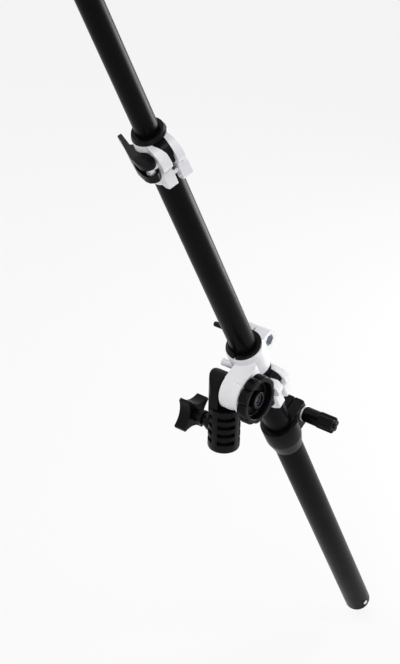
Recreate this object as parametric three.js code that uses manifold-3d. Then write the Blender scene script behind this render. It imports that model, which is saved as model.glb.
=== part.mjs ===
// Reflector holder arm: a telescoping pole that slides and tilts in a clamp bracket, on a
// spigot socket for a light stand. Lengths are in millimetres, +Z is up, and the origin is the
// centre of the socket's blind end, where the top of the stand's spigot seats.

import * as THREE from 'three';
import { mergeVertices } from 'three/addons/utils/BufferGeometryUtils.js';
import Module from 'manifold-3d';

const wasm = await Module();
wasm.setup();

// Driving dimensions
const gap = 0.3;                  // between two pieces that touch
const overrun = 2;                // how far a cut runs past the face it opens
const slideRoom = 0.3;            // between a tube and the tube that it slides in
const poleLean = 28.9;            // degrees that the pole leans from upright, top towards -Y
const tiltHeight = 29;            // tilt axis above the socket's blind end
const poleSetback = 35.4;         // pole axis behind the tilt axis, square to the pole
const poleShift = 6.7;            // pole axis beside the socket's centre, along the tilt axis
const upperTubeRadius = 10.2;
const upperTubeWall = 1.2;
const middleTubeRadius = 12.7;
const middleTubeWall = 1.2;
const thirdTubeWall = 0.8;
const handleTubeWall = 0.8;
const upperClampTop = 324.5;      // top of the upper lever clamp, along the pole from the tilt axis
const lowerClampTop = -8.2;       // top of the lower lever clamp
const headTop = -107;             // top of the handle's split head
const poleTip = 640;              // top end of the upper tube
const poleFoot = -511;            // rounded end of the handle
const upperTubeEnd = 230;         // lower ends of the tubes, inside the next tube
const middleTubeEnd = -180;
const thirdTubeEnd = -330;
const thirdTubeRadius = middleTubeRadius + slideRoom + thirdTubeWall;
const handleTubeRadius = thirdTubeRadius + slideRoom + handleTubeWall;

// Fineness of round shapes
const tubeSides = 32;
const roundSides = 28;
const smallSides = 14;
const cornerSteps = 2;

const quarterTurn = Math.PI / 2;
const radians = THREE.MathUtils.degToRad;

// Materials
const blackPlastic = plain(0x1b1b1d, 0.45, 0);
const blackTube = plain(0x141415, 0.42, 0.4);
const whiteCasting = plain(0xe9e8ee, 0.4, 0);
const steel = plain(0xb9bdc4, 0.3, 1);
const darkSteel = plain(0x4a5560, 0.4, 0.9);
const brass = plain(0xc6a55a, 0.35, 1);
const blackNylon = plain(0x202022, 0.6, 0);

function plain(color, roughness, metalness) {
  return new THREE.MeshStandardMaterial({ color, roughness, metalness, flatShading: true });
}

// A closed body from a geometry: shared corners merged, slivers dropped, faces turned outwards
function solid(geometry) {
  const bare = geometry.clone();
  bare.deleteAttribute('normal');
  bare.deleteAttribute('uv');
  const merged = mergeVertices(bare);
  const points = Float32Array.from(merged.attributes.position.array);
  const corners = merged.index.array;
  const kept = [];
  let volume = 0;
  const [a, b, c] = [new THREE.Vector3(), new THREE.Vector3(), new THREE.Vector3()];
  for (let i = 0; i < corners.length; i += 3) {
    const [p, q, r] = [corners[i], corners[i + 1], corners[i + 2]];
    if (p === q || q === r || r === p) continue;
    kept.push([p, q, r]);
    a.fromArray(points, 3 * p);
    b.fromArray(points, 3 * q);
    c.fromArray(points, 3 * r);
    volume += a.dot(b.cross(c));
  }
  const turnedOut = kept.map(([p, q, r]) => (volume > 0 ? [p, q, r] : [p, r, q]));
  const triVerts = Uint32Array.from(turnedOut.flat());
  return new wasm.Manifold(new wasm.Mesh({ numProp: 3, vertProperties: points, triVerts }));
}

function join(first, ...others) {
  return others.reduce((body, other) => body.add(other), first);
}

function cut(body, ...tools) {
  return tools.reduce((rest, tool) => rest.subtract(tool), body);
}

function keep(body, ...limits) {
  return limits.reduce((rest, limit) => rest.intersect(limit), body);
}

function geometryOf(body) {
  const result = body.getMesh();
  const geometry = new THREE.BufferGeometry();
  geometry.setAttribute('position', new THREE.BufferAttribute(result.vertProperties, 3));
  geometry.setIndex(new THREE.BufferAttribute(result.triVerts, 1));
  return geometry;
}

function moved(body, x, y, z) {
  return solid(geometryOf(body).translate(x, y, z));
}

// Hangs a finished body in its group as a named mesh
function piece(group, name, body, material) {
  const geometry = geometryOf(body);
  geometry.computeVertexNormals();
  const mesh = new THREE.Mesh(geometry, material);
  mesh.name = name;
  group.add(mesh);
}

// Rounds the corners of an outline: each corner is [x, y] or [x, y, radius]
function rounded(corners, steps = cornerSteps) {
  const outline = [];
  corners.forEach(([x, y, radius], index) => {
    if (!radius) {
      outline.push([x, y]);
      return;
    }
    const here = new THREE.Vector2(x, y);
    const before = corners[(index + corners.length - 1) % corners.length];
    const after = corners[(index + 1) % corners.length];
    const back = new THREE.Vector2(before[0], before[1]).sub(here).normalize();
    const onward = new THREE.Vector2(after[0], after[1]).sub(here).normalize();
    const half = Math.acos(THREE.MathUtils.clamp(back.dot(onward), -1, 1)) / 2;
    const centre = back.clone().add(onward).normalize().multiplyScalar(radius / Math.sin(half)).add(here);
    const start = back.clone().multiplyScalar(radius / Math.tan(half)).add(here).sub(centre);
    const end = onward.clone().multiplyScalar(radius / Math.tan(half)).add(here).sub(centre);
    const sweep = Math.atan2(start.cross(end), start.dot(end));
    for (let step = 0; step <= steps; step += 1) {
      const arm = start.clone().rotateAround(new THREE.Vector2(), (sweep * step) / steps);
      outline.push([centre.x + arm.x, centre.y + arm.y]);
    }
  });
  return outline;
}

// A body turned about +Z from corners [radius, height(, rounding)], closed on itself or on the axis
function turned(corners, sides = roundSides) {
  const outline = rounded(corners).map(([x, y]) => new THREE.Vector2(Math.max(x, 0), y));
  outline.push(outline[0].clone());
  return new THREE.LatheGeometry(outline, sides).rotateX(quarterTurn);
}

function rod(radius, low, high, sides = smallSides) {
  return turned([[0, low], [radius, low], [radius, high], [0, high]], sides);
}

function ring(inner, outer, low, high, sides = roundSides) {
  return turned([[inner, low], [outer, low], [outer, high], [inner, high]], sides);
}

// A plate with the given outline in X and Y, from one height to another
function plate(corners, low, high) {
  const shape = new THREE.Shape(rounded(corners).map(([x, y]) => new THREE.Vector2(x, y)));
  const settings = { depth: high - low, bevelEnabled: false, curveSegments: cornerSteps };
  return new THREE.ExtrudeGeometry(shape, settings).translate(0, 0, low);
}

function block(low, high) {
  const size = high.map((value, axis) => value - low[axis]);
  const middle = high.map((value, axis) => (value + low[axis]) / 2);
  return new THREE.BoxGeometry(...size).translate(...middle);
}

// Corners of a hexagon by its width across flats
function hexagon(acrossFlats) {
  const radius = acrossFlats / 2 / Math.cos(Math.PI / 6);
  return Array.from({ length: 6 }, (_, side) => {
    const angle = (side * Math.PI) / 3;
    return [radius * Math.cos(angle), radius * Math.sin(angle)];
  });
}

// Turn a geometry made along +Z so that it runs along another axis
const alongX = (geometry) => geometry.rotateY(quarterTurn);
const alongMinusX = (geometry) => geometry.rotateY(-quarterTurn);
const alongY = (geometry) => geometry.rotateX(-quarterTurn);

// Groups: the stand socket is upright, the bracket tilts above it, and the pole runs in the bracket
const arm = new THREE.Group();
const stand = new THREE.Group();
const tilting = new THREE.Group();
const pole = new THREE.Group();
arm.add(stand, tilting);
tilting.add(pole);
tilting.position.set(0, 0, tiltHeight);
tilting.rotation.x = radians(poleLean);
pole.position.set(poleShift, poleSetback, 0);

// Stack along the tilt axis, from the ear's inner face outwards
const tiltBoltRadius = 4;
const earFace = 1.5;
const frictionWasherThick = 3.4;
const bracketWidth = 22;
const thrustWasherThick = 1.5;
const frictionWasherStart = earFace + gap;
const bracketStart = frictionWasherStart + frictionWasherThick + gap;
const bracketEnd = bracketStart + bracketWidth;
const thrustWasherStart = bracketEnd + gap;
const tiltKnobStart = thrustWasherStart + thrustWasherThick + gap;

// Stand socket: a cylinder bored for a 16 mm spigot, with one ear that carries the tilt bolt
const socketRadius = 16;
const boreRadius = 8.15;
const boreDepth = 38.7;
const rimRise = 8;
const tiltHeadFlats = 13;
const tiltHeadHeight = 5.3;
const tiltHeadSeat = 6.5;         // depth of the hexagon pocket in the ear
const spigotScrewDrop = 16.7;     // screw axis below the blind end
const spigotScrewRadius = 3;
const insertRadius = 4.7;
const insertStart = boreRadius + 2.1;
const insertLength = 9.4;
const bossReach = 23.5;

function standSocket() {
  const mouthRound = 2.5;
  const earRadius = 14;
  const body = solid(turned([
    [0, -boreDepth], [socketRadius, -boreDepth, mouthRound], [socketRadius, tiltHeight + earRadius],
    [0, tiltHeight + earRadius],
  ]));
  const low = solid(block([-socketRadius, -socketRadius, -boreDepth], [socketRadius, socketRadius, rimRise]));
  const earBlock = solid(block([-socketRadius, -earRadius, 0], [earFace, earRadius, tiltHeight]));
  const arch = solid(alongX(rod(earRadius, -socketRadius, earFace, roundSides)).translate(0, 0, tiltHeight));
  const shell = keep(body, join(low, earBlock, arch));

  // Weight-saving pockets in rows round the wall
  const pocketRows = 4;
  const pocketPitch = 9;
  const pocketHeight = 4.5;
  const pocketDepth = 3;
  const pocketTurns = [45, 135, 225, 315];
  const pocketSpread = 33;
  const windows = pocketTurns.map((turn) => {
    const reach = socketRadius * 2;
    const side = reach * Math.tan(radians(pocketSpread));
    const wedge = plate([[0, 0], [reach, -side], [reach, side]], -boreDepth, rimRise);
    return solid(wedge.rotateZ(radians(turn)));
  });
  const allWindows = join(...windows);
  const pockets = Array.from({ length: pocketRows }, (_, row) => {
    const middle = -row * pocketPitch;
    const low = middle - pocketHeight / 2;
    const high = middle + pocketHeight / 2;
    const band = solid(ring(socketRadius - pocketDepth, socketRadius + overrun, low, high));
    return keep(band, allWindows);
  });

  // Cone boss for the spigot screw, on the -X side
  const bossRoot = 9.5;
  const bossEnd = 6;
  const bossInside = (boreRadius + socketRadius) / 2;
  const bossShape = [[0, bossInside], [bossRoot, bossInside], [bossRoot, socketRadius], [bossEnd, bossReach], [0, bossReach]];
  const boss = solid(alongMinusX(turned(bossShape, roundSides)).translate(0, 0, -spigotScrewDrop));
  const insertHole = rod(insertRadius + gap, 0, insertStart + insertLength + gap);
  const screwHole = rod(spigotScrewRadius + gap, 0, bossReach + overrun);
  const bore = rod(boreRadius, -boreDepth - overrun, 0, tubeSides);
  const boltHole = rod(tiltBoltRadius + gap, -socketRadius - overrun, earFace + overrun);
  const headPocket = plate(hexagon(tiltHeadFlats + 2 * gap), -socketRadius - overrun, -socketRadius + tiltHeadSeat);
  return cut(
    join(cut(shell, ...pockets), boss),
    solid(bore),
    solid(alongMinusX(insertHole).translate(0, 0, -spigotScrewDrop)),
    solid(alongMinusX(screwHole).translate(0, 0, -spigotScrewDrop)),
    solid(alongX(boltHole).translate(0, 0, tiltHeight)),
    solid(alongX(headPocket).translate(0, 0, tiltHeight)),
  );
}
piece(stand, 'stand_socket', standSocket(), blackPlastic);

// Spigot screw, its brass insert and its four-pointed knob
const lockKnobStart = bossReach + gap;
const spigotScrewTip = boreRadius + gap;
const spigotScrewLength = 34;

function spigotInsert() {
  const sleeve = ring(spigotScrewRadius + gap, insertRadius, insertStart, insertStart + insertLength, smallSides);
  return solid(alongMinusX(sleeve).translate(0, 0, -spigotScrewDrop));
}

function spigotScrew() {
  const chamfer = 1;
  const end = spigotScrewTip + spigotScrewLength;
  const shape = [
    [0, spigotScrewTip], [spigotScrewRadius - chamfer, spigotScrewTip],
    [spigotScrewRadius, spigotScrewTip + chamfer], [spigotScrewRadius, end], [0, end],
  ];
  return solid(alongMinusX(turned(shape, smallSides)).translate(0, 0, -spigotScrewDrop));
}

function spigotLockKnob() {
  const flangeRadius = 7.8;
  const flangeThick = 3.4;
  const hubRadius = 6.5;
  const hubEnd = 10.5;
  const starThick = 13;
  const tipRadius = 21;
  const tipHalfWidth = 1.6;
  const hollow = 4.5;
  const points = 4;
  const firstTip = 30;
  const sideSteps = 8;
  const starStart = lockKnobStart + hubEnd;
  const hub = turned([
    [0, lockKnobStart], [flangeRadius, lockKnobStart], [flangeRadius, lockKnobStart + flangeThick],
    [hubRadius, lockKnobStart + flangeThick], [hubRadius, starStart + starThick / 2], [0, starStart + starThick / 2],
  ], smallSides);
  const outline = [];
  for (let point = 0; point < points; point += 1) {
    const here = radians(firstTip) + (point * 2 * Math.PI) / points;
    const next = here + (2 * Math.PI) / points;
    const start = new THREE.Vector2(tipRadius, tipHalfWidth).rotateAround(new THREE.Vector2(), here);
    const end = new THREE.Vector2(tipRadius, -tipHalfWidth).rotateAround(new THREE.Vector2(), next);
    const inward = new THREE.Vector2(-1, 0).rotateAround(new THREE.Vector2(), (here + next) / 2);
    for (let step = 0; step <= sideSteps; step += 1) {
      const share = step / sideSteps;
      const bow = 4 * share * (1 - share) * hollow;
      const spot = start.clone().lerp(end, share).addScaledVector(inward, bow);
      outline.push([spot.y, spot.x]);
    }
  }
  const star = plate(outline, starStart, starStart + starThick);
  const screwHole = rod(spigotScrewRadius + gap, 0, spigotScrewTip + spigotScrewLength + gap);
  const body = cut(join(solid(alongMinusX(hub)), solid(alongMinusX(star))), solid(alongMinusX(screwHole)));
  return body;
}

piece(stand, 'socket_thread_insert', spigotInsert(), brass);
piece(stand, 'spigot_screw', spigotScrew(), steel);
piece(stand, 'spigot_lock_knob', moved(spigotLockKnob(), 0, 0, -spigotScrewDrop), blackPlastic);

// Tilt bolt: its hexagon head sits in the ear, and the tilt knob screws on its far end
const tiltBoltReach = 7.5;        // of the bolt into the knob
const tiltBoltEnd = tiltKnobStart + tiltBoltReach;

function tiltBolt() {
  const seat = -socketRadius + tiltHeadSeat - gap;
  const head = solid(alongX(plate(hexagon(tiltHeadFlats), seat - tiltHeadHeight, seat)));
  const shank = solid(alongX(rod(tiltBoltRadius, seat - tiltHeadHeight / 2, tiltBoltEnd)));
  return moved(join(head, shank), 0, 0, tiltHeight);
}
piece(stand, 'tilt_bolt', tiltBolt(), steel);

const frictionWasherRadius = 13;
const frictionWasher = ring(tiltBoltRadius + gap, frictionWasherRadius, frictionWasherStart, frictionWasherStart + frictionWasherThick);
piece(stand, 'tilt_friction_washer', solid(alongX(frictionWasher).translate(0, 0, tiltHeight)), blackNylon);

const thrustWasherRadius = 10;
const thrustWasher = ring(tiltBoltRadius + gap, thrustWasherRadius, thrustWasherStart, thrustWasherStart + thrustWasherThick);
piece(tilting, 'tilt_thrust_washer', solid(alongX(thrustWasher)), steel);

// Tilt knob: a lobed rim round a dish, with a raised ring that holds the threaded insert
const tiltInsertRadius = 5.6;
const tiltKnobFloor = 1;

function tiltKnob() {
  const hubRadius = 9.5;
  const hubHeight = 1.6;
  const rimHeight = 10;
  const lobeRadius = 24.6;
  const hollowRadius = 21.8;
  const lobes = 9;
  const lobeSteps = 6;
  const firstLobe = 10;
  const dishRadius = 18.6;
  const dishDepth = 7.5;
  const ringRadius = 8.3;
  const ringDrop = 1.2;
  const ribThick = 2.2;
  const ribDrop = 5;
  const ribTurns = [5, 125, 245];
  const rimStart = tiltKnobStart + hubHeight;
  const rimEnd = rimStart + rimHeight;
  const outline = [];
  for (let step = 0; step < lobes * lobeSteps; step += 1) {
    const angle = (step * 2 * Math.PI) / (lobes * lobeSteps);
    const wave = Math.abs(Math.cos(((angle + radians(firstLobe)) * lobes) / 2));
    const radius = hollowRadius + (lobeRadius - hollowRadius) * Math.sqrt(wave);
    outline.push([radius * Math.cos(angle), radius * Math.sin(angle)]);
  }
  const rim = solid(alongX(plate(outline, rimStart, rimEnd)));
  const hub = solid(alongX(rod(hubRadius, tiltKnobStart, rimStart + hubHeight)));
  const dish = solid(alongX(ring(ringRadius, dishRadius, rimEnd - dishDepth, rimEnd + overrun)));
  const ringTop = solid(alongX(rod(dishRadius, rimEnd - ringDrop, rimEnd + overrun)));
  const insertHole = solid(alongX(rod(tiltInsertRadius + gap, tiltKnobStart + tiltKnobFloor, rimEnd + overrun)));
  const boltHole = solid(alongX(rod(tiltBoltRadius + gap, tiltKnobStart - overrun, rimEnd + overrun)));
  const inner = (ringRadius + tiltInsertRadius) / 2;
  const ribs = ribTurns.map((turn) => {
    const rib = block([inner, -ribThick / 2, rimEnd - dishDepth - hubHeight], [dishRadius + ribThick, ribThick / 2, rimEnd - ribDrop]);
    return solid(alongX(rib.rotateZ(radians(turn))));
  });
  return cut(join(cut(join(rim, hub), dish, ringTop), ...ribs), insertHole, boltHole);
}
piece(stand, 'tilt_knob', moved(tiltKnob(), 0, 0, tiltHeight), blackPlastic);

const tiltInsertStart = tiltKnobStart + tiltKnobFloor + gap;
const tiltInsertLength = 7.5;
const tiltInsert = ring(tiltBoltRadius + gap, tiltInsertRadius, tiltInsertStart, tiltInsertStart + tiltInsertLength, smallSides);
piece(stand, 'tilt_knob_insert', solid(alongX(tiltInsert).translate(0, 0, tiltHeight)), darkSteel);

// Pivot bracket: a grooved drum on the tilt bolt, an arm, and a split collar round the pole
const collarLow = -4.4;
const collarHigh = 26;
const collarRadius = 18.75;
const bushWall = 2.3;
const bushOuter = middleTubeRadius + gap + bushWall;
const collarBore = bushOuter + gap;
const lugHalf = 13.5;
const lugReach = 20.5;            // clamp bolt axis behind the pole axis
const lugHeight = 15.5;
const lugRadius = 9.75;
const clampBoltRadius = 3;
const nutFlats = 10;
const nutHeight = 5;
const seamCentre = -2;
const seamWidth = 2.2;
const stubReach = 23;
const stubSide = -14;
const stubHeight = 4.4;
const stubRadius = 3.6;
const setScrewRadius = 1.8;

function pivotBracket() {
  const drumRadius = 18.6;
  const coneFrom = 9.5;
  const neckRadius = 16;
  const discFrom = 18.5;
  const discRadius = 19;
  const edgeRound = 1;
  const coneStart = bracketStart + coneFrom;
  const discStart = bracketStart + discFrom;
  const drum = solid(alongX(turned([
    [0, bracketStart], [drumRadius, bracketStart, edgeRound], [drumRadius, coneStart],
    [neckRadius, discStart, edgeRound], [discRadius, discStart, edgeRound],
    [discRadius, bracketEnd, edgeRound], [0, bracketEnd],
  ])));

  // The arm is drawn in X and Y as height and reach, then stood up along the tilt axis
  const armTop = drumRadius;
  const toeShare = 0.64;
  const heel = drumRadius * toeShare;
  const drop = -Math.sqrt(drumRadius ** 2 - heel ** 2);
  const armShape = [
    [-armTop, 0], [-armTop, poleSetback], [-collarLow, poleSetback],
    [-collarLow, poleSetback - collarBore], [-drop, heel], [0, 0],
  ];
  const web = solid(alongX(plate(armShape, bracketStart, bracketEnd)));
  const elbowRound = 5;
  const nose = poleSetback - collarRadius / 2;
  const elbow = solid(plate([
    [bracketStart, 0], [bracketEnd, 0], [bracketEnd, nose, elbowRound], [poleShift, nose],
    [bracketStart, nose],
  ], -drumRadius, drumRadius));
  const armBody = keep(web, elbow);

  const collar = solid(turned([
    [0, collarLow], [collarRadius, collarLow, edgeRound], [collarRadius, collarHigh, edgeRound], [0, collarHigh],
  ], tubeSides).translate(poleShift, poleSetback, 0));
  const boltLine = poleSetback + lugReach;
  const lugEnd = solid(alongX(rod(lugRadius, poleShift - lugHalf, poleShift + lugHalf, roundSides)).translate(0, boltLine, lugHeight));
  const lugRoot = solid(block(
    [poleShift - lugHalf, poleSetback, lugHeight - lugRadius],
    [poleShift + lugHalf, boltLine, lugHeight + lugRadius],
  ));
  const stub = solid(alongX(rod(stubRadius, poleShift - stubReach, poleShift)).translate(0, poleSetback + stubSide, stubHeight));

  const farOut = lugHalf + overrun;
  const below = -drumRadius - overrun;
  const above = collarHigh + overrun;
  const bore = solid(rod(collarBore, below, above, tubeSides).translate(poleShift, poleSetback, 0));
  const seam = solid(block(
    [poleShift + seamCentre - seamWidth / 2, poleSetback, below],
    [poleShift + seamCentre + seamWidth / 2, boltLine + lugRadius + overrun, above],
  ));
  const clampHole = solid(alongX(rod(clampBoltRadius + gap, poleShift - farOut, poleShift + farOut)).translate(0, boltLine, lugHeight));
  const nutPocket = solid(alongX(plate(hexagon(nutFlats + 2 * gap), poleShift + lugHalf - nutHeight - gap, poleShift + farOut))
    .translate(0, boltLine, lugHeight));
  const setHole = solid(alongX(rod(setScrewRadius + gap, poleShift - stubReach - overrun, poleShift))
    .translate(0, poleSetback + stubSide, stubHeight));
  const tiltHole = solid(alongX(rod(tiltBoltRadius + gap, bracketStart - overrun, bracketEnd + overrun)));
  return cut(join(drum, armBody, collar, lugEnd, lugRoot, stub), bore, seam, clampHole, nutPocket, setHole, tiltHole);
}
piece(tilting, 'pivot_bracket', pivotBracket(), whiteCasting);

// Split bush that lines the collar, with a flange on top and a set screw that keeps it from turning
const bushFlangeThick = 2.5;

function collarBush() {
  const flangeRadius = 17.8;
  const slitWidth = 2;
  const slitTurn = -87;
  const inner = middleTubeRadius + gap;
  const flangeLow = collarHigh + gap;
  const flangeHigh = flangeLow + bushFlangeThick;
  const edge = 0.8;
  const body = solid(turned([
    [inner, collarLow], [bushOuter, collarLow], [bushOuter, flangeLow], [flangeRadius, flangeLow],
    [flangeRadius, flangeHigh, edge], [inner, flangeHigh],
  ], tubeSides));
  const slit = block([0, -slitWidth / 2, collarLow - overrun], [flangeRadius + overrun, slitWidth / 2, flangeHigh + overrun]);
  return cut(body, solid(slit.rotateZ(radians(slitTurn))));
}
piece(pole, 'collar_bush', collarBush(), blackPlastic);

const setScrewLength = 12;
const setScrew = rod(setScrewRadius, -stubReach + gap, -stubReach + gap + setScrewLength);
piece(pole, 'bush_set_screw', solid(alongX(setScrew).translate(0, stubSide, stubHeight)), steel);

// Collar clamp: a bolt through both lugs, a nut in its pocket, a washer and a locking handle
const handleWasherThick = 1.2;
const handleWasherStart = lugHalf + gap;
const clampHandleStart = handleWasherStart + handleWasherThick + gap;
const clampHandleLength = 9.5;
const clampBoltEnd = clampHandleStart + clampHandleLength - 2 * gap - overrun;

function onClampBolt(geometry) {
  return solid(geometry.translate(0, lugReach, lugHeight));
}

function clampHandle() {
  const hubRadius = 8;
  const hubRound = 1.5;
  const armRadius = 2.75;
  const armEnd = 50;
  const armShift = -5;
  const end = clampHandleStart + clampHandleLength;
  const hub = alongMinusX(turned([
    [0, clampHandleStart], [hubRadius, clampHandleStart], [hubRadius, end, hubRound], [0, end],
  ]));
  const arm = alongMinusX(turned([
    [0, end - hubRound], [armRadius, end - hubRound], [armRadius, armEnd, armRadius / 2], [0, armEnd],
  ], smallSides)).translate(0, armShift, 0);
  const hole = alongMinusX(rod(clampBoltRadius + gap, clampHandleStart - overrun, clampBoltEnd + gap));
  return cut(join(onClampBolt(hub), onClampBolt(arm)), onClampBolt(hole));
}
piece(pole, 'collar_clamp_handle', clampHandle(), blackPlastic);

const handleWasherRadius = 6.8;
const handleWasher = ring(clampBoltRadius + gap, handleWasherRadius, handleWasherStart, handleWasherStart + handleWasherThick, smallSides);
piece(pole, 'collar_handle_washer', onClampBolt(alongMinusX(handleWasher)), steel);
piece(pole, 'collar_clamp_bolt', onClampBolt(alongX(rod(clampBoltRadius, -clampBoltEnd, lugHalf - gap))), steel);

function clampNut() {
  const body = cut(
    solid(alongX(plate(hexagon(nutFlats), lugHalf - nutHeight, lugHalf - gap))),
    solid(alongX(rod(clampBoltRadius + gap, lugHalf - nutHeight - overrun, lugHalf + overrun))),
  );
  return moved(body, 0, lugReach, lugHeight);
}

piece(pole, 'collar_clamp_nut', clampNut(), darkSteel);

// Lever clamps: a white collar fixed on the outer tube, its split upper part closed by a cam lever.
// Each is drawn with the split along +X and its top at zero height.
const clampHeight = 50.8;
const clampFlangeThick = 4.2;
const clampWall = 2.3;
const earThick = 9;
const earSteps = 4;
const splitNear = 1.5;            // the split's faces, on the lever's side and on the nuts' side
const splitFar = 4.2;
const earOuter = splitNear + earThick;
const earFar = 11.2;              // outer face of the ear that holds the nut
const lugNear = 10.5;             // outer faces of the lugs
const lugFar = 13.6;
const earReach = 30.5;
const earTop = 4.8;
const slitTop = 25.5;
const slitWidth = 3;
const tongueTop = 4.6;            // the bush's tongue lies in a notch between the ears
const tongueBottom = 14;
const tongueHalf = 5.5;
const tongueReach = 27;
const tongueRoot = 15;
const tongueRound = 9;
const tubeEndDepth = 24.2;        // top end of the outer tube below the clamp's top
const pinAlong = 19;              // lever pin, along the split
const camRadius = 6.2;
const pinAcross = -(earOuter + gap + camRadius);
const leverPinRadius = 4;
const pinInset = 2;               // lever material above the pin
const leverTop = 10.8;
const leverBottom = 30.8;
const leverBoltRadius = 3;
const leverBoltDepth = 19.6;
const leverNutFlats = 10;
const leverNutHeight = 5;
const fixAlong = 18.4;
const fixDepth = 37.5;
const fixScrewRadius = 2.5;
const fixHeadRadius = 4.2;
const fixHeadHeight = 2.8;
const fixNutFlats = 8;
const fixNutHeight = 4;
const leverNutStart = earFar - leverNutHeight - gap;
const fixNutStart = lugFar - fixNutHeight - gap;

function onLeverBolt(geometry) {
  return solid(alongY(geometry).translate(pinAlong, 0, -leverBoltDepth));
}

function onFixingScrew(geometry) {
  return solid(alongY(geometry).translate(fixAlong, 0, -fixDepth));
}

// A plate across the split, drawn as [depth below the clamp's top, reach along the split]
function acrossSplit(corners, near, far) {
  const drawn = rounded(corners.map(([depth, reach, round]) => [reach, -depth, round]), earSteps);
  return solid(plate(drawn, -far, near).rotateX(quarterTurn));
}

// The bush's tongue is a wedge between the ears, rounded like them; with room round it, it is the
// notch that the ears leave for it
function tongueWedge(start, room) {
  const rootHalf = tongueHalf + room;
  const tipNear = splitNear - gap + room;
  const tipFar = splitFar - gap + room;
  const top = room > 0 ? 0 : tongueTop;
  const bottom = tongueBottom + room;
  const reach = tongueReach + room;
  const wedge = solid(plate([
    [start, -rootHalf], [tongueRoot, -rootHalf], [reach, -tipNear],
    [reach, tipFar], [tongueRoot, rootHalf], [start, rootHalf],
  ], -bottom, -top));
  const round = room > 0 ? 0 : tongueRound;
  return keep(wedge, acrossSplit([
    [top, 0], [top, reach, round], [bottom, reach], [bottom, 0],
  ], rootHalf, rootHalf));
}

function clampCollar(outerTubeRadius) {
  const edge = 1;
  const topRound = 12;
  const earRound = 8;
  const cornerRound = 3;
  const lugReach = 24.8;
  const lugTaper = 5;
  const bore = outerTubeRadius + gap;
  const radius = bore + clampWall;
  const tubeBody = solid(turned([
    [0, -clampHeight], [radius, -clampHeight, edge], [radius, -clampFlangeThick - gap, edge],
    [0, -clampFlangeThick - gap],
  ], tubeSides));
  const ear = acrossSplit([
    [earTop, 0], [earTop, earReach, topRound], [slitTop, earReach, earRound], [slitTop, 0],
  ], earOuter, earFar);
  const lug = acrossSplit([
    [slitTop + slitWidth, 0], [slitTop + slitWidth, lugReach, cornerRound],
    [clampHeight - lugTaper, lugReach, cornerRound], [clampHeight, radius], [clampHeight, 0],
  ], lugNear, lugFar);
  const through = solid(rod(bore, -clampHeight - overrun, overrun, tubeSides));
  const split = solid(block(
    [0, -splitNear, -clampHeight - overrun],
    [earReach + overrun, splitFar, 0],
  ));
  const slit = solid(block(
    [-bore / 2, -radius - overrun, -slitTop - slitWidth],
    [earReach + overrun, radius + overrun, -slitTop],
  ));
  return cut(
    join(tubeBody, ear, lug), through, split, slit, tongueWedge(0, gap),
    onLeverBolt(rod(leverBoltRadius + gap, -earOuter - overrun, earFar + overrun)),
    onLeverBolt(plate(hexagon(leverNutFlats + 2 * gap), leverNutStart - gap, earFar + overrun)),
    onFixingScrew(rod(fixScrewRadius + gap, -lugNear - overrun, lugFar + overrun)),
    onFixingScrew(rod(fixHeadRadius + gap, -lugNear - overrun, -lugNear + fixHeadHeight + gap)),
    onFixingScrew(plate(hexagon(fixNutFlats + 2 * gap), fixNutStart - gap, lugFar + overrun)),
  );
}

// Flanged split bush round the inner tube, with a web and a tongue in the collar's split
function clampBush(innerTubeRadius, outerTubeRadius, flangeRadius) {
  const edge = 1.4;
  const slitHalf = 1;
  const webReach = 24;
  const inner = innerTubeRadius + gap;
  const low = -tubeEndDepth + gap;
  const sleeve = solid(turned([
    [inner, low], [outerTubeRadius, low], [outerTubeRadius, -clampFlangeThick],
    [flangeRadius, -clampFlangeThick], [flangeRadius - edge, 0], [inner, 0],
  ], tubeSides));
  const web = solid(block([inner, gap - splitNear, low], [webReach, splitFar - gap, -tongueBottom + overrun]));
  const tongue = tongueWedge(inner, 0);
  const bore = solid(rod(inner, low - overrun, overrun, tubeSides));
  const slit = solid(block(
    [-flangeRadius - overrun, -slitHalf, low - overrun],
    [0, slitHalf, overrun],
  ));
  return cut(
    join(sleeve, web, tongue), bore, slit,
    onLeverBolt(rod(leverBoltRadius + gap, -earOuter, earOuter)),
  );
}

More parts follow.
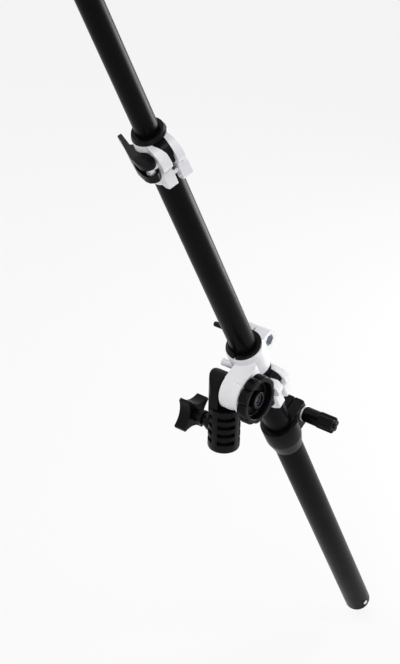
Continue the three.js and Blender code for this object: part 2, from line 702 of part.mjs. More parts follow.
// Cam lever, closed round the collar: a fork on the pin at its thick end, thin at its tip
function clampLever(outerTubeRadius) {
  const back = [[25.2, -17], [24, -19.8], [21, -22.6], [16.6, -24], [4.5, -24], [-11, -20.6], [-27, -16.5]];
  const tip = [[-38, -14.6, 1], [-38, -10.5, 1]];
  const step = [[-15, -14.2], [-12, -12.4]];
  const tipDepths = [21.8, 26.8];
  const taperFrom = 8;
  const wrapFrom = -122;
  const wrapTo = -47;
  const wrapSteps = 6;
  const camSteps = 6;
  const windowFrom = 6;
  const windowIn = 19.5;
  const clear = outerTubeRadius + 2 * gap + clampWall;
  const outline = [...back, ...tip, ...step];
  for (let index = 0; index <= wrapSteps; index += 1) {
    const turn = radians(wrapFrom + ((wrapTo - wrapFrom) * index) / wrapSteps);
    const reach = Math.min(clear * Math.sin(turn), -earOuter - gap);
    outline.push([clear * Math.cos(turn), reach]);
  }
  for (let index = camSteps; index > 0; index -= 1) {
    const turn = (quarterTurn * index) / camSteps;
    outline.push([pinAlong + camRadius * Math.cos(turn), pinAcross + camRadius * Math.sin(turn)]);
  }
  const blank = solid(plate(outline, -leverBottom, -leverTop));
  const [tipTop, tipBottom] = tipDepths;
  const [[backTip]] = tip;
  const far = pinAlong + 2 * camRadius;
  const taper = acrossSplit([
    [tipTop, backTip - overrun], [tipTop, backTip], [leverTop, taperFrom], [leverTop, far],
    [leverBottom, far], [leverBottom, taperFrom], [tipBottom, backTip], [tipBottom, backTip - overrun],
  ], -2 * pinAcross, 0);
  const slotHalf = leverBoltRadius + 2 * gap;
  const slot = plate([
    [pinAlong - slotHalf, -earOuter], [pinAlong - slotHalf, -windowIn], [windowFrom, -windowIn],
    [windowFrom, 2 * pinAcross], [far, 2 * pinAcross], [far, -earOuter],
  ], -leverBoltDepth - slotHalf, -leverBoltDepth + slotHalf);
  const pinHole = rod(leverPinRadius + gap, -leverBottom - overrun, -leverTop - pinInset + gap)
    .translate(pinAlong, pinAcross, 0);
  return cut(keep(blank, taper), solid(slot), solid(pinHole));
}

function leverPin() {
  const pin = rod(leverPinRadius, -leverBottom + pinInset / 2, -leverTop - pinInset)
    .translate(pinAlong, pinAcross, 0);
  return cut(solid(pin), onLeverBolt(rod(leverBoltRadius + gap, 2 * pinAcross, 0)));
}

function leverClamp(prefix, top, turn, innerTubeRadius, outerTubeRadius, flangeRadius) {
  const clamp = new THREE.Group();
  clamp.position.z = top;
  clamp.rotation.z = radians(turn);
  pole.add(clamp);
  piece(clamp, `${prefix}_collar`, clampCollar(outerTubeRadius), whiteCasting);
  piece(clamp, `${prefix}_bush`, clampBush(innerTubeRadius, outerTubeRadius, flangeRadius), blackPlastic);
  piece(clamp, `${prefix}_lever`, clampLever(outerTubeRadius), blackPlastic);
  piece(clamp, `${prefix}_pin`, leverPin(), steel);
  piece(clamp, `${prefix}_bolt`,
    onLeverBolt(rod(leverBoltRadius, pinAcross - leverBoltRadius, earFar - gap)), steel);
  piece(clamp, `${prefix}_nut`, cut(
    onLeverBolt(plate(hexagon(leverNutFlats), leverNutStart, leverNutStart + leverNutHeight)),
    onLeverBolt(rod(leverBoltRadius + gap, leverNutStart - overrun, earFar + overrun)),
  ), steel);
  piece(clamp, `${prefix}_fixing_screw`, join(
    onFixingScrew(rod(fixScrewRadius, -lugNear + fixHeadHeight / 2, lugFar - gap)),
    onFixingScrew(rod(fixHeadRadius, -lugNear, -lugNear + fixHeadHeight)),
  ), steel);
  piece(clamp, `${prefix}_fixing_nut`, cut(
    onFixingScrew(plate(hexagon(fixNutFlats), fixNutStart, fixNutStart + fixNutHeight)),
    onFixingScrew(rod(fixScrewRadius + gap, fixNutStart - overrun, lugFar + overrun)),
  ), steel);
}

const upperClampTurn = -20;
const lowerClampTurn = 3;
const upperFlangeRadius = 15.2;
const lowerFlangeRadius = 17.2;
leverClamp('upper_clamp', upperClampTop, upperClampTurn, upperTubeRadius, middleTubeRadius, upperFlangeRadius);
leverClamp('lower_clamp', lowerClampTop, lowerClampTurn, middleTubeRadius, thirdTubeRadius, lowerFlangeRadius);

// Tubes, each with a plug in its lower end that runs in the next tube
const plugThick = 5;
const plugDepth = 14;
const headLength = 24;
const handleTubeTop = headTop - 29;

function endPlug(tubeRadius, wall, outerBore, end) {
  const plug = join(
    solid(rod(outerBore - gap, end - gap - plugThick, end - gap, roundSides)),
    solid(rod(tubeRadius - wall - gap, end - gap - plugThick / 2, end + plugDepth, roundSides)),
  );
  return cut(plug, solid(rod((tubeRadius - wall) / 2, end - 2 * plugThick, end + plugDepth + overrun)));
}

function tube(radius, wall, low, high) {
  return solid(ring(radius - wall, radius, low, high, tubeSides));
}

const middleTubeTop = upperClampTop - tubeEndDepth;
const thirdTubeTop = lowerClampTop - tubeEndDepth;
piece(pole, 'upper_tube', tube(upperTubeRadius, upperTubeWall, upperTubeEnd, poleTip), blackTube);
piece(pole, 'middle_tube', tube(middleTubeRadius, middleTubeWall, middleTubeEnd, middleTubeTop), blackTube);
piece(pole, 'third_tube', tube(thirdTubeRadius, thirdTubeWall, thirdTubeEnd, thirdTubeTop), blackTube);
piece(pole, 'upper_tube_plug', endPlug(upperTubeRadius, upperTubeWall, middleTubeRadius - middleTubeWall, upperTubeEnd), blackNylon);
piece(pole, 'middle_tube_plug', endPlug(middleTubeRadius, middleTubeWall, thirdTubeRadius - thirdTubeWall, middleTubeEnd), blackNylon);
piece(pole, 'third_tube_plug', endPlug(thirdTubeRadius, thirdTubeWall, handleTubeRadius - handleTubeWall, thirdTubeEnd), blackNylon);

// Handle: a tube with a rounded end cap, held by a small screw
const capThick = 6;
const capPlugDepth = 14;
const capTop = poleFoot + capThick;
const handleTubeLow = capTop + gap;
const endScrewHeight = capTop + 7;
const endScrewRadius = 1.5;
const endScrewHead = 2.6;
const endScrewTurn = -11;
const endScrewLength = 6;
const endHeadHeight = 1.1;

function radial(geometry) {
  return solid(alongX(geometry).rotateZ(radians(endScrewTurn)).translate(0, 0, endScrewHeight));
}

function handleEndCap() {
  const round = 4;
  const plugRadius = handleTubeRadius - handleTubeWall - gap;
  const bodyShape = turned([
    [0, poleFoot], [handleTubeRadius, poleFoot, round], [handleTubeRadius, capTop], [plugRadius, capTop],
    [plugRadius, capTop + capPlugDepth], [0, capTop + capPlugDepth],
  ], tubeSides);
  const start = handleTubeRadius - endScrewLength;
  return cut(solid(bodyShape), radial(rod(endScrewRadius + gap, start - gap, handleTubeRadius + overrun)));
}

function handleTube() {
  const body = tube(handleTubeRadius, handleTubeWall, handleTubeLow, handleTubeTop);
  return cut(body, radial(rod(endScrewRadius + gap, 0, handleTubeRadius + overrun)));
}

function endScrew() {
  const start = handleTubeRadius - endScrewLength;
  const under = handleTubeRadius + gap;
  const shank = radial(rod(endScrewRadius, start, under + endHeadHeight / 2));
  const head = radial(rod(endScrewHead, under, under + endHeadHeight));
  return join(shank, head);
}
piece(pole, 'handle_tube', handleTube(), blackTube);
piece(pole, 'handle_end_cap', handleEndCap(), blackPlastic);
piece(pole, 'handle_end_screw', endScrew(), steel);

// Handle head: a split sleeve round the third tube, pinched by a long knob through its lug
const headRadius = 19.2;
const headLugLow = -12;
const headLugHigh = 15;
const headLugReach = 31;
const headLugHeight = 26;
const headLugRise = 3.5;          // of the lug above the sleeve
const headStudReach = 22.9;
const headStudDrop = 7.7;
const headStudRadius = 3;
const headStudHeight = headTop - headStudDrop;
const headNutFlats = 10;
const headNutHeight = 4.5;
const headWasherThick = 2;
const headWasherRadius = 8.4;
const headKnobRadius = 8;
const headKnobLength = 35.5;
const headStudLength = 52;

function onHeadStud(geometry) {
  return solid(geometry.translate(0, headStudReach, headStudHeight));
}

function handleHead() {
  const edge = 1;
  const lugRound = 3;
  const skirtRadius = handleTubeRadius + 2 * gap;
  const skirt = 17;
  const low = headTop - headLength - skirt;
  const slitLow = 1.5;
  const slitHigh = 3;
  const sleeve = solid(turned([
    [0, low], [skirtRadius, low], [headRadius, low + skirt, skirt / 2], [headRadius, headTop, edge], [0, headTop],
  ], tubeSides));
  const lugShape = [
    [headLugLow, 0], [headLugHigh, 0], [headLugHigh, headLugReach, lugRound], [headLugLow, headLugReach, lugRound],
  ];
  const lugTop = headTop + headLugRise;
  const lug = solid(plate(lugShape, lugTop - headLugHeight, lugTop));
  const upperBore = rod(thirdTubeRadius + gap, low - overrun, lugTop + overrun, tubeSides);
  const lowerBore = rod(handleTubeRadius + gap, low - overrun, handleTubeTop + gap, tubeSides);
  const slit = block(
    [slitLow, 0, lugTop - headLugHeight - overrun],
    [slitHigh, headLugReach + overrun, lugTop + overrun],
  );
  const studHole = onHeadStud(alongX(rod(headStudRadius + gap, headLugLow - overrun, headLugHigh + overrun)));
  const nutSeat = headLugLow + headNutHeight + gap;
  const nutPocket = onHeadStud(alongX(plate(hexagon(headNutFlats + 2 * gap), headLugLow - overrun, nutSeat)));
  return cut(join(sleeve, lug), solid(upperBore), solid(lowerBore), solid(slit), studHole, nutPocket);
}
piece(pole, 'handle_head', handleHead(), blackPlastic);

const headWasherStart = headLugHigh + gap;
const headKnobStart = headWasherStart + headWasherThick + gap;
const headWasher = ring(headStudRadius + gap, headWasherRadius, headWasherStart, headWasherStart + headWasherThick, smallSides);
piece(pole, 'head_washer', onHeadStud(alongX(headWasher)), steel);

function headKnob() {
  const smoothShare = 0.48;
  const gripRadius = 8.6;
  const gripFlats = 8;
  const neck = headKnobStart + headKnobLength * smoothShare;
  const end = headKnobStart + headKnobLength;
  const nubRadius = 3.2;
  const nubLength = 1.6;
  const edge = 1;
  const smooth = turned([
    [0, headKnobStart], [headKnobRadius, headKnobStart, edge], [headKnobRadius, neck, edge], [0, neck],
  ], smallSides);
  const grip = turned([
    [0, neck - edge], [gripRadius, neck - edge], [gripRadius, end, edge], [0, end],
  ], gripFlats);
  const nub = rod(nubRadius, end - edge, end + nubLength);
  const hole = rod(headStudRadius + gap, headKnobStart - overrun, headLugLow + headStudLength + gap);
  return cut(join(onHeadStud(alongX(smooth)), onHeadStud(alongX(grip)), onHeadStud(alongX(nub))), onHeadStud(alongX(hole)));
}
piece(pole, 'head_knob', headKnob(), blackPlastic);
piece(pole, 'head_stud', onHeadStud(alongX(rod(headStudRadius, headLugLow + gap, headLugLow + headStudLength))), steel);

function headNut() {
  const low = headLugLow;
  const body = cut(
    solid(alongX(plate(hexagon(headNutFlats), low, low + headNutHeight))),
    solid(alongX(rod(headStudRadius + gap, low - overrun, low + headNutHeight + overrun))),
  );
  return moved(body, 0, headStudReach, headStudHeight);
}
piece(pole, 'head_nut', headNut(), steel);

// Tip: a plug in the top of the upper tube and a swivelling clip for a reflector's rim
const tipPlugThick = 6;
const tipPlugDepth = 20;
const tipPlugTop = poleTip + gap + tipPlugThick;
const clipBaseRadius = 9;
const clipBaseThick = 5;
const clipHeight = 22;
const clipHalfLength = 8;
const clipMouth = 8;
const clipWall = 3.5;
const clipLip = 1.5;
const clipLow = tipPlugTop + gap;
const clipFloor = clipLow + clipBaseThick;
const clipScrewRadius = 2;
const clipScrewHead = 3.5;
const clipScrewHeadHeight = 2;
const clipScrewLength = 16;

function tipPlug() {
  const edge = 1.5;
  const body = solid(turned([
    [0, poleTip - tipPlugDepth], [upperTubeRadius - upperTubeWall - gap, poleTip - tipPlugDepth],
    [upperTubeRadius - upperTubeWall - gap, poleTip + gap], [upperTubeRadius, poleTip + gap],
    [upperTubeRadius, tipPlugTop, edge], [0, tipPlugTop],
  ]));
  const hole = rod(clipScrewRadius + gap, clipFloor - clipScrewLength - gap, tipPlugTop + overrun);
  return cut(body, solid(hole));
}

function tipClip() {
  const edge = 1;
  const outer = clipMouth / 2 + clipWall;
  const base = solid(turned([
    [0, clipLow], [clipBaseRadius, clipLow], [clipBaseRadius, clipFloor, edge], [0, clipFloor],
  ]));
  // The jaws are drawn across the mouth, then run along X
  const high = clipLow + clipHeight;
  const inner = clipMouth / 2;
  const jaw = [
    [-clipLow - clipBaseThick / 2, -outer], [-high, -outer], [-high, -inner + clipLip], [-high + 2 * clipLip, -inner],
    [-clipFloor, -inner], [-clipFloor, inner], [-high + 2 * clipLip, inner], [-high, inner - clipLip],
    [-high, outer], [-clipLow - clipBaseThick / 2, outer],
  ];
  const jaws = solid(alongX(plate(jaw, -clipHalfLength, clipHalfLength)));
  const hole = rod(clipScrewRadius + gap, clipLow - overrun, clipFloor + overrun);
  return cut(join(base, jaws), solid(hole));
}
piece(pole, 'tip_plug', tipPlug(), blackPlastic);
piece(pole, 'tip_clip', tipClip(), blackPlastic);
piece(pole, 'tip_clip_screw', join(
  solid(rod(clipScrewRadius, clipFloor - clipScrewLength, clipFloor + gap + clipScrewHeadHeight / 2)),
  solid(rod(clipScrewHead, clipFloor + gap, clipFloor + gap + clipScrewHeadHeight)),
), steel);

export default arm;
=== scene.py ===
from math import cos, pi, radians, sin, sqrt, tan

import bmesh
import bpy
from mathutils import Matrix, Vector


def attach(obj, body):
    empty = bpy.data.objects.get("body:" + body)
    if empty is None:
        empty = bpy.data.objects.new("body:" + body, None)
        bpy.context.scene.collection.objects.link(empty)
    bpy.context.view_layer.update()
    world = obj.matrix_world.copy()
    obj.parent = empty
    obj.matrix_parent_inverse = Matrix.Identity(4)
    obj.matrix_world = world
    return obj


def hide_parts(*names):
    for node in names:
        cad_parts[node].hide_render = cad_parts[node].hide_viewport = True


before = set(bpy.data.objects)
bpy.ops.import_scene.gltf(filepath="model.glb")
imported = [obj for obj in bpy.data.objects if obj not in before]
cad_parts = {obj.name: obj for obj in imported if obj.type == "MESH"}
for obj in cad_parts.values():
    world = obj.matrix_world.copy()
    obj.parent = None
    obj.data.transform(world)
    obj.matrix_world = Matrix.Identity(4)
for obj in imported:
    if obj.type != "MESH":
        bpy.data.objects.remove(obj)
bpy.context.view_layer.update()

# Studio: a white surround, broad soft light from above and soft lamps round the arm; a low one
# behind draws the light line down the upper tubes' right edges. The camera looks down at the pole
# from the right of the socket, as in the photograph.
surround_light = 0.26
broad_turn = (radians(28), 0, radians(12))
broad_strength = 1.15
broad_softness = radians(35)
lamps = {                # place, target, width in metres, power in watts
    "right_softbox": ((1.9, 1.0, 1.2), (0.0, 0.0, 0.1), 0.8, 9.0),
    "front_softbox": ((1.2, -1.9, 1.1), (0.0, 0.0, 0.0), 0.8, 13.0),
    "back_softbox": ((0.5, 1.5, 0.05), (0.0, 0.0, 0.15), 0.9, 24.0),
    "left_softbox": ((-1.9, -0.3, 1.6), (0.0, 0.0, 0.1), 0.8, 8.0),
}
camera_place = (0.7340, -0.9922, 0.7721)
camera_azimuth = radians(37.68)
camera_height = radians(29.0)
camera_roll = radians(1.29)
camera_lens = 81.4
camera_film = 36.0
camera_reach = 50

scene = bpy.context.scene
scene.view_settings.view_transform = "Standard"


def whitened(tree, plain, white, most):
    """The plain shader, with most of the white one where the camera, metal or glass shows it"""
    rays = tree.nodes.new("ShaderNodeLightPath")
    share = rays.outputs["Is Camera Ray"]
    for kind in ("Is Glossy Ray", "Is Transmission Ray"):
        either = tree.nodes.new("ShaderNodeMath")
        either.operation = "MAXIMUM"
        tree.links.new(share, either.inputs[0])
        tree.links.new(rays.outputs[kind], either.inputs[1])
        share = either.outputs[0]
    part = tree.nodes.new("ShaderNodeMath")
    part.operation = "MULTIPLY"
    part.inputs[1].default_value = most
    tree.links.new(share, part.inputs[0])
    mix = tree.nodes.new("ShaderNodeMixShader")
    tree.links.new(part.outputs[0], mix.inputs[0])
    tree.links.new(plain.outputs[0], mix.inputs[1])
    tree.links.new(white.outputs[0], mix.inputs[2])
    return mix.outputs[0]


world = bpy.data.worlds.new("surround")
scene.world = world
world.use_nodes = True
sky = world.node_tree
shown = sky.nodes["Background"]
shown.inputs["Color"].default_value = (1, 1, 1, 1)
surround = sky.nodes.new("ShaderNodeBackground")
surround.inputs["Color"].default_value = (1, 1, 1, 1)
surround.inputs["Strength"].default_value = surround_light
sky.links.new(whitened(sky, surround, shown, 1), sky.nodes["World Output"].inputs["Surface"])

for lamp_name, (place, target, width, power) in lamps.items():
    lamp = bpy.data.lights.new(lamp_name, "AREA")
    lamp.size = width
    lamp.energy = power
    holder = bpy.data.objects.new(lamp_name, lamp)
    scene.collection.objects.link(holder)
    holder.location = place
    aim = Vector(target) - Vector(place)
    holder.rotation_euler = aim.to_track_quat("-Z", "Y").to_euler()

broad = bpy.data.lights.new("broad_light", "SUN")
broad.energy = broad_strength
broad.angle = broad_softness
over = bpy.data.objects.new("broad_light", broad)
scene.collection.objects.link(over)
over.rotation_euler = broad_turn

back = Vector((
    sin(camera_azimuth) * cos(camera_height),
    -cos(camera_azimuth) * cos(camera_height),
    sin(camera_height),
))
right = Vector((cos(camera_azimuth), sin(camera_azimuth), 0))
up = back.cross(right)
rolled_right = cos(camera_roll) * right + sin(camera_roll) * up
rolled_up = cos(camera_roll) * up - sin(camera_roll) * right
lens = bpy.data.cameras.new("camera")
lens.lens = camera_lens
lens.sensor_width = camera_film
lens.clip_end = camera_reach
camera = bpy.data.objects.new("camera", lens)
scene.collection.objects.link(camera)
turn = Matrix((rolled_right, rolled_up, back)).transposed().to_4x4()
camera.matrix_world = Matrix.Translation(camera_place) @ turn
scene.camera = camera


# Socket: black glass-filled plastic with rows of pockets, moulded in one piece with the ear. Its
# screw turns in a brass thread pressed into its left side, under a moulded four-pointed knob.
# It is the first to need the effects and finishes that the other pieces share.
def effect(name, inputs, outputs):
    """An empty node group with its named sockets, given as (name, kind, value) and (name, kind)"""
    group = bpy.data.node_groups.new(name, "ShaderNodeTree")
    for label, kind, value in inputs:
        made = group.interface.new_socket(name=label, in_out="INPUT", socket_type=kind)
        made.default_value = value
    for label, kind in outputs:
        group.interface.new_socket(name=label, in_out="OUTPUT", socket_type=kind)
    return group, group.nodes.new("NodeGroupInput"), group.nodes.new("NodeGroupOutput")


def noise(tree, size, detail, stretch=None):
    """Noise on the piece's own coordinates, with features of about the given size in metres"""
    spot = tree.nodes.new("ShaderNodeTexCoord")
    pattern = tree.nodes.new("ShaderNodeTexNoise")
    pattern.inputs["Scale"].default_value = 1 / size
    pattern.inputs["Detail"].default_value = detail
    if stretch:
        drawn = tree.nodes.new("ShaderNodeMapping")
        drawn.inputs["Scale"].default_value = stretch
        tree.links.new(spot.outputs["Object"], drawn.inputs["Vector"])
        tree.links.new(drawn.outputs[0], pattern.inputs["Vector"])
    else:
        tree.links.new(spot.outputs["Object"], pattern.inputs["Vector"])
    return pattern.outputs["Fac"]


def mapped(tree, value, low, high, to_low, to_high):
    """The value, with low to high spread over to_low to to_high"""
    scale = tree.nodes.new("ShaderNodeMapRange")
    ends = {"From Min": low, "From Max": high, "To Min": to_low, "To Max": to_high}
    for label, number in ends.items():
        scale.inputs[label].default_value = number
    tree.links.new(value, scale.inputs["Value"])
    return scale.outputs["Result"]


def combined(tree, operation, first, second):
    """One step of arithmetic on two sockets or numbers"""
    step = tree.nodes.new("ShaderNodeMath")
    step.operation = operation
    for socket, value in zip(step.inputs, (first, second)):
        if isinstance(value, (int, float)):
            socket.default_value = value
        else:
            tree.links.new(value, socket)
    return step.outputs[0]


def blended(tree, factor, first, second):
    """The first colour where factor is 0, the second where it is 1: sockets or three numbers"""
    mix = tree.nodes.new("ShaderNodeMix")
    mix.data_type = "RGBA"
    tree.links.new(factor, mix.inputs["Factor"])
    for socket, value in ((mix.inputs[6], first), (mix.inputs[7], second)):
        if isinstance(value, tuple):
            socket.default_value = (*value, 1)
        else:
            tree.links.new(value, socket)
    return mix.outputs[2]


# Mottle drifts a colour between two tones, in soft clouds with small specks in them.
cloud_size, cloud_share = 0.021, 0.7
speck_size, speck_share = 0.0028, 0.3
mottle_low, mottle_high = 0.35, 0.65
mottle, mottle_in, mottle_out = effect(
    "mottle",
    [("Light", "NodeSocketColor", (1, 1, 1, 1)), ("Dark", "NodeSocketColor", (0, 0, 0, 1))],
    [("Color", "NodeSocketColor"), ("Mask", "NodeSocketFloat")],
)
clouds = combined(mottle, "MULTIPLY", noise(mottle, cloud_size, detail=4), cloud_share)
specks = combined(mottle, "MULTIPLY", noise(mottle, speck_size, detail=3), speck_share)
mask = mapped(mottle, combined(mottle, "ADD", clouds, specks), mottle_low, mottle_high, 0, 1)
tone = blended(mottle, mask, mottle_in.outputs["Dark"], mottle_in.outputs["Light"])
mottle.links.new(mask, mottle_out.inputs["Mask"])
mottle.links.new(tone, mottle_out.inputs["Color"])

# Grain is the fine bump of moulded plastic or sprayed paint.
coarse_size, fine_size = 0.0016, 0.00042
grain, grain_in, grain_out = effect(
    "grain",
    [("Coarse", "NodeSocketFloat", 0.5), ("Fine", "NodeSocketFloat", 0.5)],
    [("Height", "NodeSocketFloat")],
)
bumps = combined(grain, "MULTIPLY", noise(grain, coarse_size, detail=2), grain_in.outputs["Coarse"])
dots = combined(grain, "MULTIPLY", noise(grain, fine_size, detail=2), grain_in.outputs["Fine"])
grain.links.new(combined(grain, "ADD", bumps, dots), grain_out.inputs["Height"])

# Rub shows, in patches, where edges and corners are handled.
flat_point, sharp_point = 0.52, 0.6
patch_size = 0.006
patch_low, patch_high, patch_least = 0.38, 0.62, 0.25
rub, rub_in, rub_out = effect(
    "rub",
    [("Amount", "NodeSocketFloat", 0.5)],
    [("Mask", "NodeSocketFloat")],
)
shape = rub.nodes.new("ShaderNodeNewGeometry")
corners = mapped(rub, shape.outputs["Pointiness"], flat_point, sharp_point, 0, 1)
patches = mapped(rub, noise(rub, patch_size, detail=5), patch_low, patch_high, patch_least, 1)
handled = combined(rub, "MULTIPLY", corners, patches)
handled = combined(rub, "MULTIPLY", handled, rub_in.outputs["Amount"])
rub.links.new(handled, rub_out.inputs["Mask"])

coat_roughness = 0.14
streak_stretch = (1, 1, 0.02)
streak_low, streak_high, streak_gloss = 0.3, 0.7, 0.06


def finish(name, light, dark, worn, rough, wear, metallic=0.0, specular=0.5,
           coarse=0.5, fine=0.5, bump=0.00004, coat=0.0, drawn=None):
    """A material: mottled colour, rubbed edges, uneven gloss, a fine bump, and drawn streaks"""
    made = bpy.data.materials.new(name)
    made.use_nodes = True
    tree = made.node_tree
    shader = tree.nodes["Principled BSDF"]
    placed = {}
    for label, group in (("mottle", mottle), ("grain", grain), ("rub", rub)):
        placed[label] = tree.nodes.new("ShaderNodeGroup")
        placed[label].node_tree = group
    placed["mottle"].inputs["Light"].default_value = (*light, 1)
    placed["mottle"].inputs["Dark"].default_value = (*dark, 1)
    placed["grain"].inputs["Coarse"].default_value = coarse
    placed["grain"].inputs["Fine"].default_value = fine
    placed["rub"].inputs["Amount"].default_value = wear
    colour = blended(tree, placed["rub"].outputs["Mask"], placed["mottle"].outputs["Color"], worn)
    tree.links.new(colour, shader.inputs["Base Color"])
    low, high = rough
    gloss = mapped(tree, placed["mottle"].outputs["Mask"], 0, 1, high, low)
    height = placed["grain"].outputs["Height"]
    if drawn:
        streaks = noise(tree, drawn, detail=3, stretch=streak_stretch)
        uneven = mapped(tree, streaks, streak_low, streak_high, -streak_gloss, streak_gloss)
        gloss = combined(tree, "ADD", gloss, uneven)
        height = combined(tree, "ADD", height, streaks)
    tree.links.new(gloss, shader.inputs["Roughness"])
    relief = tree.nodes.new("ShaderNodeBump")
    relief.inputs["Distance"].default_value = bump
    tree.links.new(height, relief.inputs["Height"])
    tree.links.new(relief.outputs["Normal"], shader.inputs["Normal"])
    shader.inputs["Metallic"].default_value = metallic
    shader.inputs["Specular IOR Level"].default_value = specular
    shader.inputs["Coat Weight"].default_value = coat
    shader.inputs["Coat Roughness"].default_value = coat_roughness
    return made


weld_gap = 0.00002
flat_angle = radians(1.5)
edge_angle = radians(32)


def dressed(node, surface, edge, segments=2):
    """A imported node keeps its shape, gets a finish, and has its sharp edges eased by edge metres"""
    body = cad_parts[node]
    for slot in body.material_slots:
        slot.material = surface
    if body.data.has_custom_normals:
        body.data.attributes.remove(body.data.attributes["custom_normal"])
    for face in body.data.polygons:
        face.use_smooth = True
    weld = body.modifiers.new("weld", "WELD")
    weld.merge_threshold = weld_gap
    flat = body.modifiers.new("flat", "DECIMATE")
    flat.decimate_type = "DISSOLVE"
    flat.angle_limit = flat_angle
    ease = body.modifiers.new("ease", "BEVEL")
    ease.width = edge
    ease.segments = segments
    ease.limit_method = "ANGLE"
    ease.angle_limit = edge_angle
    ease.harden_normals = True
    ease.miter_outer = "MITER_ARC"


moulded = finish(
    "moulded_black", (0.0034, 0.0033, 0.0041), (0.0021, 0.002, 0.0025), (0.024, 0.024, 0.026),
    rough=(0.24, 0.34), wear=0.4, specular=0.05, bump=0.000015, coat=0.06)
zinc = finish(
    "zinc_plate", (0.76, 0.77, 0.79), (0.62, 0.63, 0.65), (0.84, 0.84, 0.84),
    rough=(0.28, 0.4), wear=0.3, metallic=0.75, coarse=0.2, bump=0.00002)
brass_turned = finish(
    "turned_brass", (0.62, 0.44, 0.16), (0.5, 0.34, 0.11), (0.75, 0.6, 0.3),
    rough=(0.26, 0.36), wear=0.3, metallic=1.0, bump=0.00002)
dressed("stand_socket", moulded, 0.0009, segments=3)
dressed("spigot_lock_knob", moulded, 0.0012, segments=3)
dressed("spigot_screw", zinc, 0.0003)
dressed("socket_thread_insert", brass_turned, 0.0002)

# Tilt joint: an M8 bolt through the ear and the bracket's drum, with a nylon friction washer on one
# side and a steel thrust washer under the knob on the other.
nylon = finish(
    "nylon_washer", (0.02, 0.02, 0.022), (0.014, 0.014, 0.015), (0.05, 0.05, 0.05),
    rough=(0.5, 0.62), wear=0.2, specular=0.4)
blued = finish(
    "blued_steel", (0.11, 0.13, 0.16), (0.06, 0.075, 0.095), (0.3, 0.32, 0.36),
    rough=(0.3, 0.42), wear=0.6, metallic=0.85, bump=0.00002)
dressed("tilt_friction_washer", nylon, 0.0004)
dressed("tilt_thrust_washer", zinc, 0.0003)
dressed("tilt_knob_insert", blued, 0.0003)
dressed("tilt_bolt", blued, 0.0004)

# Tilt knob: one black moulding with nine scallops round the rim, a deep dish, and a raised ring in
# the middle that holds the threaded insert. It screws onto the M8 bolt.
mm = 0.001
sharp_angle = radians(40)


def eased(outline, steps=4):
    """Corners (radius, height, rounding) in order, in millimetres, with the rounding drawn in"""
    drawn = []
    count = len(outline)
    for index, corner in enumerate(outline):
        here = Vector(corner[:2])
        if len(corner) < 3:
            drawn.append(here)
            continue
        before = (Vector(outline[index - 1][:2]) - here).normalized()
        after = (Vector(outline[(index + 1) % count][:2]) - here).normalized()
        half = before.angle(after) / 2
        start = here + before * corner[2] / tan(half)
        end = here + after * corner[2] / tan(half)
        middle = here + (before + after).normalized() * corner[2] / sin(half)
        for step in range(steps + 1):
            share = step / steps
            spoke = (start - middle).lerp(end - middle, share).normalized() * corner[2]
            drawn.append(middle + spoke)
    return drawn


def lathed(name, outline, sides, place, wave=None):
    """A closed body turned about its Z axis, its radius changed by wave(angle, radius, height)"""
    shape = bmesh.new()
    loops = []
    for radius, height in eased(outline):
        if radius == 0:
            loops.append([shape.verts.new((0, 0, height * mm))])
            continue
        loop = []
        for side in range(sides):
            angle = 2 * pi * side / sides
            reach = wave(angle, radius, height) if wave else radius
            spot = (reach * cos(angle) * mm, reach * sin(angle) * mm, height * mm)
            loop.append(shape.verts.new(spot))
        loops.append(loop)
    for near, far in zip(loops, loops[1:] + loops[:1]):
        for side in range(sides):
            onward = (side + 1) % sides
            ends = (near[side % len(near)], near[onward % len(near)],
                    far[onward % len(far)], far[side % len(far)])
            corners = list(dict.fromkeys(ends))
            if len(corners) > 2:
                shape.faces.new(corners)
    bmesh.ops.recalc_face_normals(shape, faces=shape.faces)
    mesh = bpy.data.meshes.new(name)
    shape.to_mesh(mesh)
    shape.free()
    for face in mesh.polygons:
        face.use_smooth = True
    mesh.set_sharp_from_angle(angle=sharp_angle)
    body = bpy.data.objects.new(name, mesh)
    scene.collection.objects.link(body)
    body.matrix_world = place
    return body


def installed(body, surface, slot, ridden, *stood_for):
    """A piece made here gets its finish, stands for CAD nodes and rides on a body; the slot is not
    used
    """
    body.data.materials.append(surface)
    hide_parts(*stood_for)
    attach(body, ridden)


tilt_height = 0.029
tilt_place = Matrix.Translation((0, 0, tilt_height))
along_tilt = tilt_place @ Matrix.Rotation(pi / 2, 4, "Y")
knob_sides, scallops, first_scallop = 216, 9, radians(80)
knob_rim, knob_hollow = 24.6, 21.8
dish_edge, dish_wall, dish_foot = 19.2, 18.9, 18.2
thread_hole, insert_hole, ring_wall, ring_foot, hub_reach = 4.3, 5.9, 8.3, 8.5, 9.5
hub_back, insert_back, rim_back = 29.6, 30.6, 31.2
dish_floor, ring_front, rim_front = 33.7, 40.0, 41.2


def scalloped(angle, radius, height):
    share = max(0, min(1, (radius - dish_edge) / (knob_rim - dish_edge)))
    swell = sqrt(abs(cos((angle + first_scallop) * scallops / 2)))
    return radius - share * (knob_rim - knob_hollow) * (1 - swell)


tilt_knob = lathed("tilt_knob_moulding", [
    (thread_hole, hub_back), (hub_reach, hub_back, 0.4), (hub_reach, rim_back),
    (knob_rim, rim_back, 1.4), (knob_rim, rim_front, 1.6), (dish_wall, rim_front, 0.7),
    (dish_foot, dish_floor, 1.6), (ring_foot, dish_floor, 0.8), (ring_wall, ring_front, 0.6),
    (insert_hole, ring_front, 0.3), (insert_hole, insert_back), (thread_hole, insert_back),
], knob_sides, along_tilt, scalloped)
installed(tilt_knob, moulded, "black_plastic", "tilt_lock", "tilt_knob")

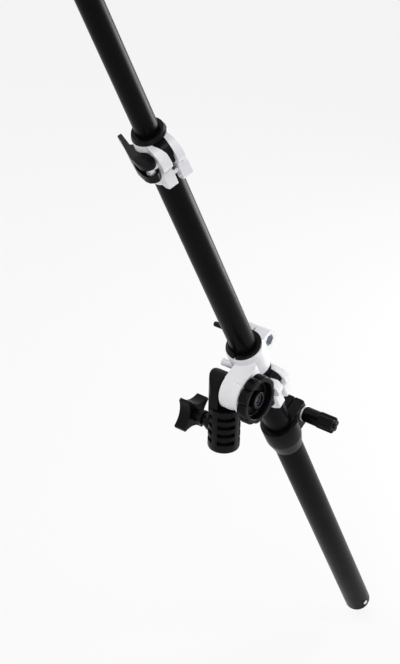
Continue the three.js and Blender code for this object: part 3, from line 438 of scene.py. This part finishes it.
# Pivot bracket: a white powder-coated casting of drum, arm and split collar in one piece.
# The black bush inside the collar lines the pole's tube, and a small screw in the stub holds it.
powder = finish(
    "powder_coat", (0.83, 0.83, 0.86), (0.78, 0.78, 0.812), (0.86, 0.86, 0.88),
    rough=(0.34, 0.44), wear=0.5, coarse=0.8, fine=0.3, bump=0.00005, coat=0.08)
dressed("pivot_bracket", powder, 0.0012, segments=3)
dressed("collar_bush", moulded, 0.0004)
dressed("bush_set_screw", zinc, 0.0002)

# Collar clamp: a black handle on an M6 bolt squeezes the two lugs, with a washer under its hub and
# a blue-grey nut in the far lug's pocket.
dressed("collar_clamp_handle", moulded, 0.0006)
dressed("collar_handle_washer", zinc, 0.0002)
dressed("collar_clamp_bolt", blued, 0.0003)
dressed("collar_clamp_nut", blued, 0.0004)

# Lever clamps: a white casting fixed to the outer tube, a black flanged bush round the inner one,
# and a black cam lever on a steel pin that pulls the ears together.
for clamp in ("upper_clamp", "lower_clamp"):
    dressed(f"{clamp}_collar", powder, 0.0009, segments=3)
    dressed(f"{clamp}_bush", moulded, 0.0005)
    dressed(f"{clamp}_lever", moulded, 0.0008, segments=3)
    for part in ("pin", "bolt", "nut", "fixing_screw", "fixing_nut"):
        dressed(f"{clamp}_{part}", zinc, 0.0003)

# Pole: four drawn aluminium tubes, anodised black, each sliding in the next; the plastic plugs
# that guide their lower ends are hidden inside.
anodised = finish(
    "black_anodised", (0.0036, 0.0035, 0.0038), (0.0022, 0.0021, 0.0023), (0.016, 0.016, 0.017),
    rough=(0.27, 0.34), wear=0.3, specular=0.04, coarse=0.2, fine=0.6, bump=0.000008, drawn=0.0006)
pole_lean = radians(28.9)
pole_beside, pole_behind = 0.0067, 0.0354
pole_turn = Matrix.Rotation(pole_lean, 4, "X")
pole = tilt_place @ pole_turn @ Matrix.Translation((pole_beside, pole_behind, 0))
tubes = {                # radius, wall, lower end and upper end along the pole, in millimetres
    "upper": (10.2, 1.2, 230.0, 640.0),
    "middle": (12.7, 1.2, -180.0, 300.3),
    "third": (13.8, 0.8, -330.0, -32.4),
    "handle": (14.9, 0.8, -504.7, -136.0),
}
tube_sides, tube_rounding = 96, 0.3
for tube, (radius, wall, low, high) in tubes.items():
    bore = radius - wall
    made = lathed(f"{tube}_tube_drawn", [
        (bore, low), (radius, low, tube_rounding), (radius, high, tube_rounding), (bore, high),
    ], tube_sides, pole)
    installed(made, anodised, "black_tube", tube, f"{tube}_tube")
for plug in ("upper_tube_plug", "middle_tube_plug", "third_tube_plug"):
    dressed(plug, nylon, 0.0004)

# Handle's foot: a rounded cap of black plastic pushed into the tube's end, and held there by one
# small plated screw through the tube.
dressed("handle_end_cap", moulded, 0.0003)
dressed("handle_end_screw", zinc, 0.0002)

# Handle head: a black split sleeve that grips the third tube, pinched by a stud through its lug,
# with a zinc washer under a long fluted knob.
dressed("handle_head", moulded, 0.0007)
dressed("head_washer", zinc, 0.0004)
dressed("head_stud", zinc, 0.0004)
dressed("head_nut", zinc, 0.0003)
stud_behind, stud_along = 22.9, -114.7
stud_place = Matrix.Translation((0, stud_behind * mm, stud_along * mm))
head_stud = pole @ stud_place @ Matrix.Rotation(pi / 2, 4, "Y")
grip_sides, flutes, flute_depth, flute_reach = 144, 6, 1.8, 6
neck_reach, grip_reach, nib_reach, stud_hole = 8.0, 8.6, 3.2, 3.3
neck_back, neck_front, flute_start, grip_back = 17.6, 34.6, 34.9, 35.1
hole_end, grip_front, nib_front = 40.3, 53.1, 54.7


def fluted(angle, radius, height):
    if height < flute_start or radius < flute_reach:
        return radius
    return radius - flute_depth * (0.5 - 0.5 * cos(angle * flutes)) ** 2


head_knob = lathed("head_knob_moulding", [
    (stud_hole, neck_back), (neck_reach, neck_back, 0.8), (neck_reach, neck_front, 0.8),
    (grip_reach, grip_back, 0.3), (grip_reach, grip_front, 1.2), (nib_reach, grip_front, 0.4),
    (nib_reach, nib_front, 0.6), (0, nib_front), (0, hole_end), (stud_hole, hole_end),
], grip_sides, head_stud, fluted)
installed(head_knob, moulded, "black_plastic", "head_lock", "head_knob")

# Tip: a moulded black plug pushed into the upper tube's end carries a clip of the same plastic,
# which swivels on one plated screw.
dressed("tip_plug", moulded, 0.0004)
dressed("tip_clip", moulded, 0.0006)
dressed("tip_clip_screw", zinc, 0.0002)

# Floor: pale paper below the handle's foot. It keeps the arm's soft shadow, and is whitened where
# the camera and the reflections show it; what it throws back on the arm stays plain.
floor_height = -0.43
floor_width = 12.0
paper_tone = 0.8
paper_roughness = 0.9
paper_whitening = 0.78
bpy.ops.mesh.primitive_plane_add(size=floor_width, location=(0, 0, floor_height))
floor = bpy.context.object
floor.name = "floor"
paper = bpy.data.materials.new("paper")
paper.use_nodes = True
sheet = paper.node_tree
matt = sheet.nodes["Principled BSDF"]
matt.inputs["Base Color"].default_value = (paper_tone, paper_tone, paper_tone, 1)
matt.inputs["Roughness"].default_value = paper_roughness
white = sheet.nodes.new("ShaderNodeEmission")
lit = whitened(sheet, matt, white, paper_whitening)
sheet.links.new(lit, sheet.nodes["Material Output"].inputs["Surface"])
floor.data.materials.append(paper)
